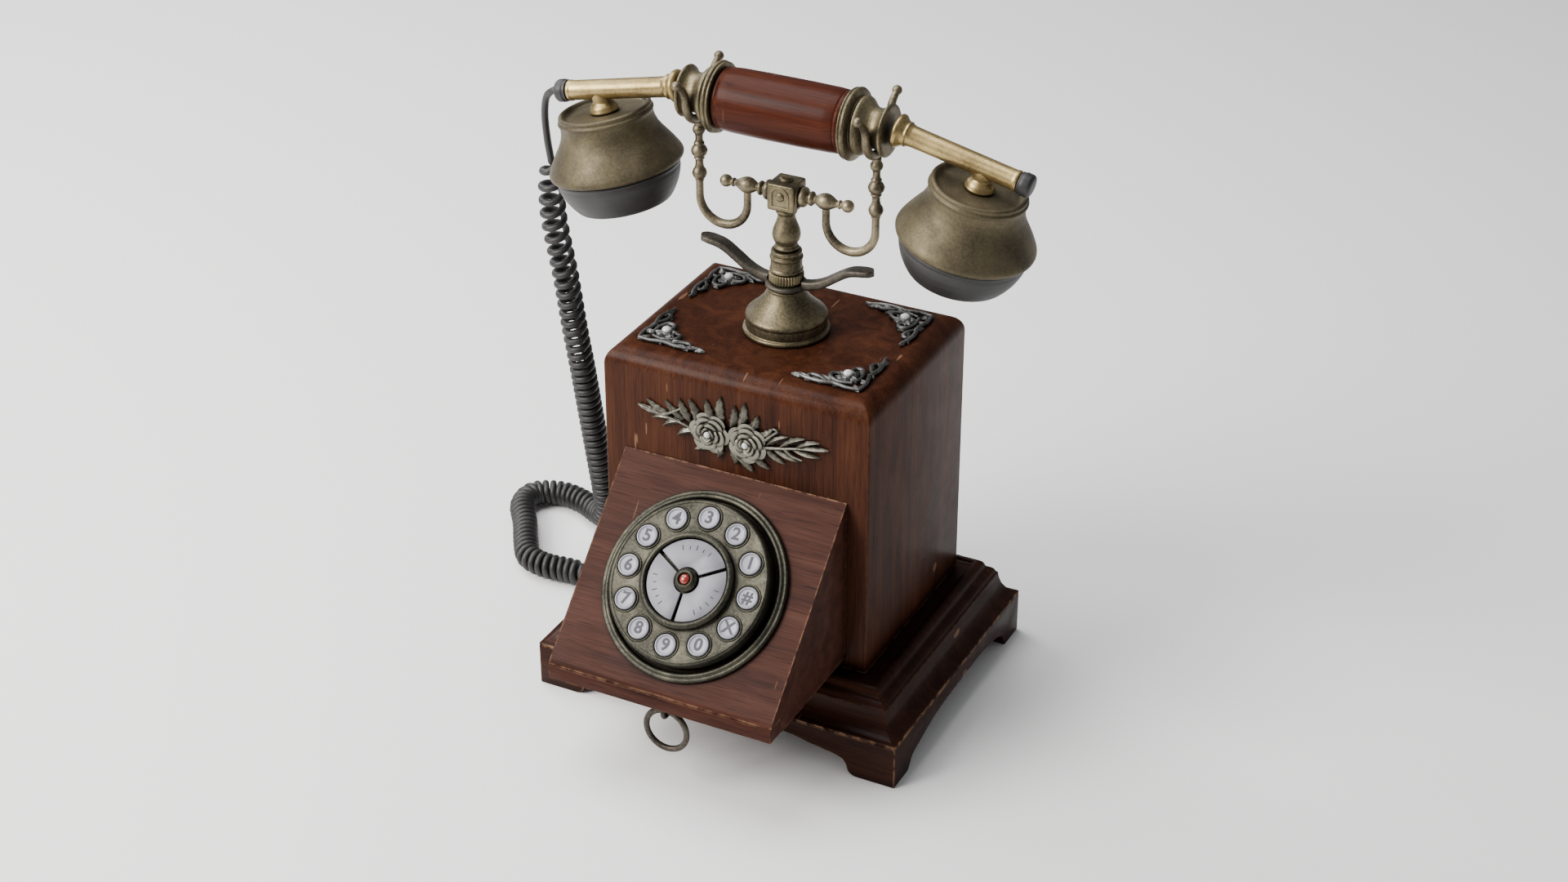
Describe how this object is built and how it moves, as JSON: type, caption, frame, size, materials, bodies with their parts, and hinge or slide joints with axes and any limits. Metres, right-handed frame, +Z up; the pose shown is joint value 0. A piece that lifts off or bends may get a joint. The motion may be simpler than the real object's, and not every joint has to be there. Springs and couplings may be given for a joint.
{
  "type": "vintage desk telephone",
  "caption": "Table telephone: wood cabinet on a bracket-footed base, sloped push-button dial over a shallow drawer, brass column with a two-fork cradle, and a lift-off handset on a curled cord",
  "frame": {"origin": "middle of the telephone's footprint, cord left out, on the table it stands on", "axes": "+X to the right of someone facing the dial, -Y towards that person, +Z up"},
  "size_m": [0.31, 0.2043, 0.3055],
  "materials": {
    "cabinet_wood": "semi-gloss mahogany, worn edges",
    "housing_wood": "satin dark stain",
    "base_wood": "semi-gloss dark stain, rubbed corners",
    "inner_wood": "raw board",
    "grip_wood": "satin",
    "aged_brass": "aged, brown in the hollows",
    "tube_brass": "satin, little patina",
    "cup_bronze": "matte bronze patina",
    "dark_bronze": "dark bronze patina",
    "dial_brass": "dull grey-green brass",
    "pewter": "dark antique silver",
    "black_plastic": "satin black",
    "silver_key": "silvery white",
    "lens_plastic": "clear red-brown",
    "board_green": "solder mask",
    "steel": "plain"
  },
  "bodies": {
    "cabinet": {"base_skirt": "base_wood", "base_moulding": "base_wood", "cabinet_shell": "cabinet_wood", "rear_cover": "inner_wood", "line_jack": "black_plastic", "main_board": "board_green", "hook_switch": "black_plastic", "dial_housing": "housing_wood", "dial_bezel": "dial_brass", "dial_plate": "dial_brass", "dial_hub": "dial_brass", "indicator_lens": "lens_plastic", "front_ornament": "pewter", "corner_ornament_front_left": "pewter", "corner_ornament_front_right": "pewter", "corner_ornament_rear_left": "pewter", "corner_ornament_rear_right": "pewter", "column_base": "aged_brass", "horn_lever": "dark_bronze", "knurled_ring": "aged_brass", "column_sleeve": "aged_brass", "cord_gland": "black_plastic", "cord_coiled": "black_plastic", "cord_tail": "black_plastic"},
    "cradle": {"cradle_stem": "aged_brass", "head_block": "aged_brass", "cradle_arm_left": "dark_bronze", "cradle_arm_right": "dark_bronze"},
    "handset": {"handset_grip": "grip_wood", "grip_collar_left": "aged_brass", "grip_collar_right": "aged_brass", "handset_tube_left": "tube_brass", "handset_tube_right": "tube_brass", "tube_cap_left": "black_plastic", "tube_cap_right": "black_plastic", "transmitter_shell": "cup_bronze", "transmitter_cap": "black_plastic", "transmitter_capsule": "steel", "receiver_shell": "cup_bronze", "receiver_cap": "black_plastic", "receiver_capsule": "steel", "cord_lead": "black_plastic"},
    "drawer": {"drawer": "housing_wood", "drawer_eye": "dark_bronze"},
    "pull_ring": {"drawer_ring": "dark_bronze"},
    "key_star_cap": {"key_star": "silver_key"},
    "key_0_cap": {"key_0": "silver_key"},
    "key_9_cap": {"key_9": "silver_key"},
    "key_8_cap": {"key_8": "silver_key"},
    "key_7_cap": {"key_7": "silver_key"},
    "key_6_cap": {"key_6": "silver_key"},
    "key_5_cap": {"key_5": "silver_key"},
    "key_4_cap": {"key_4": "silver_key"},
    "key_3_cap": {"key_3": "silver_key"},
    "key_2_cap": {"key_2": "silver_key"},
    "key_1_cap": {"key_1": "silver_key"},
    "key_hash_cap": {"key_hash": "silver_key"},
    "function_key_top_cap": {"function_key_top": "silver_key"},
    "function_key_left_cap": {"function_key_left": "silver_key"},
    "function_key_right_cap": {"function_key_right": "silver_key"}
  },
  "joints": [
    {"name": "handset_lift", "type": "slide", "parent": "cabinet", "child": "handset", "axis": [0, 0, 1], "range_m": [0, 0.08]},
    {"name": "cradle_travel", "type": "slide", "parent": "cabinet", "child": "cradle", "axis": [0, 0, 1], "range_m": [0, 0.006]},
    {"name": "drawer_slide", "type": "slide", "parent": "cabinet", "child": "drawer", "axis": [0, -1, 0], "range_m": [0, 0.045]},
    {"name": "ring_swing", "type": "hinge", "parent": "drawer", "child": "pull_ring", "pos_m": [0, -0.09155, 0.0414], "axis": [1, 0, 0], "range_deg": [-75, 75]},
    {"name": "key_star_press", "type": "slide", "parent": "cabinet", "child": "key_star_cap", "axis": [0, 0.7071, -0.7071], "range_m": [0, 0.0015], "stiffness_N_per_m": 500},
    {"name": "key_0_press", "type": "slide", "parent": "cabinet", "child": "key_0_cap", "axis": [0, 0.7071, -0.7071], "range_m": [0, 0.0015], "stiffness_N_per_m": 500},
    {"name": "key_9_press", "type": "slide", "parent": "cabinet", "child": "key_9_cap", "axis": [0, 0.7071, -0.7071], "range_m": [0, 0.0015], "stiffness_N_per_m": 500},
    {"name": "key_8_press", "type": "slide", "parent": "cabinet", "child": "key_8_cap", "axis": [0, 0.7071, -0.7071], "range_m": [0, 0.0015], "stiffness_N_per_m": 500},
    {"name": "key_7_press", "type": "slide", "parent": "cabinet", "child": "key_7_cap", "axis": [0, 0.7071, -0.7071], "range_m": [0, 0.0015], "stiffness_N_per_m": 500},
    {"name": "key_6_press", "type": "slide", "parent": "cabinet", "child": "key_6_cap", "axis": [0, 0.7071, -0.7071], "range_m": [0, 0.0015], "stiffness_N_per_m": 500},
    {"name": "key_5_press", "type": "slide", "parent": "cabinet", "child": "key_5_cap", "axis": [0, 0.7071, -0.7071], "range_m": [0, 0.0015], "stiffness_N_per_m": 500},
    {"name": "key_4_press", "type": "slide", "parent": "cabinet", "child": "key_4_cap", "axis": [0, 0.7071, -0.7071], "range_m": [0, 0.0015], "stiffness_N_per_m": 500},
    {"name": "key_3_press", "type": "slide", "parent": "cabinet", "child": "key_3_cap", "axis": [0, 0.7071, -0.7071], "range_m": [0, 0.0015], "stiffness_N_per_m": 500},
    {"name": "key_2_press", "type": "slide", "parent": "cabinet", "child": "key_2_cap", "axis": [0, 0.7071, -0.7071], "range_m": [0, 0.0015], "stiffness_N_per_m": 500},
    {"name": "key_1_press", "type": "slide", "parent": "cabinet", "child": "key_1_cap", "axis": [0, 0.7071, -0.7071], "range_m": [0, 0.0015], "stiffness_N_per_m": 500},
    {"name": "key_hash_press", "type": "slide", "parent": "cabinet", "child": "key_hash_cap", "axis": [0, 0.7071, -0.7071], "range_m": [0, 0.0015], "stiffness_N_per_m": 500},
    {"name": "function_key_top_press", "type": "slide", "parent": "cabinet", "child": "function_key_top_cap", "axis": [0, 0.7071, -0.7071], "range_m": [0, 0.001], "stiffness_N_per_m": 500},
    {"name": "function_key_left_press", "type": "slide", "parent": "cabinet", "child": "function_key_left_cap", "axis": [0, 0.7071, -0.7071], "range_m": [0, 0.001], "stiffness_N_per_m": 500},
    {"name": "function_key_right_press", "type": "slide", "parent": "cabinet", "child": "function_key_right_cap", "axis": [0, 0.7071, -0.7071], "range_m": [0, 0.001], "stiffness_N_per_m": 500}
  ],
  "couplings": [
    {"joint": "cradle_travel", "follows": "handset_lift", "ratio": 0.075}
  ]
}
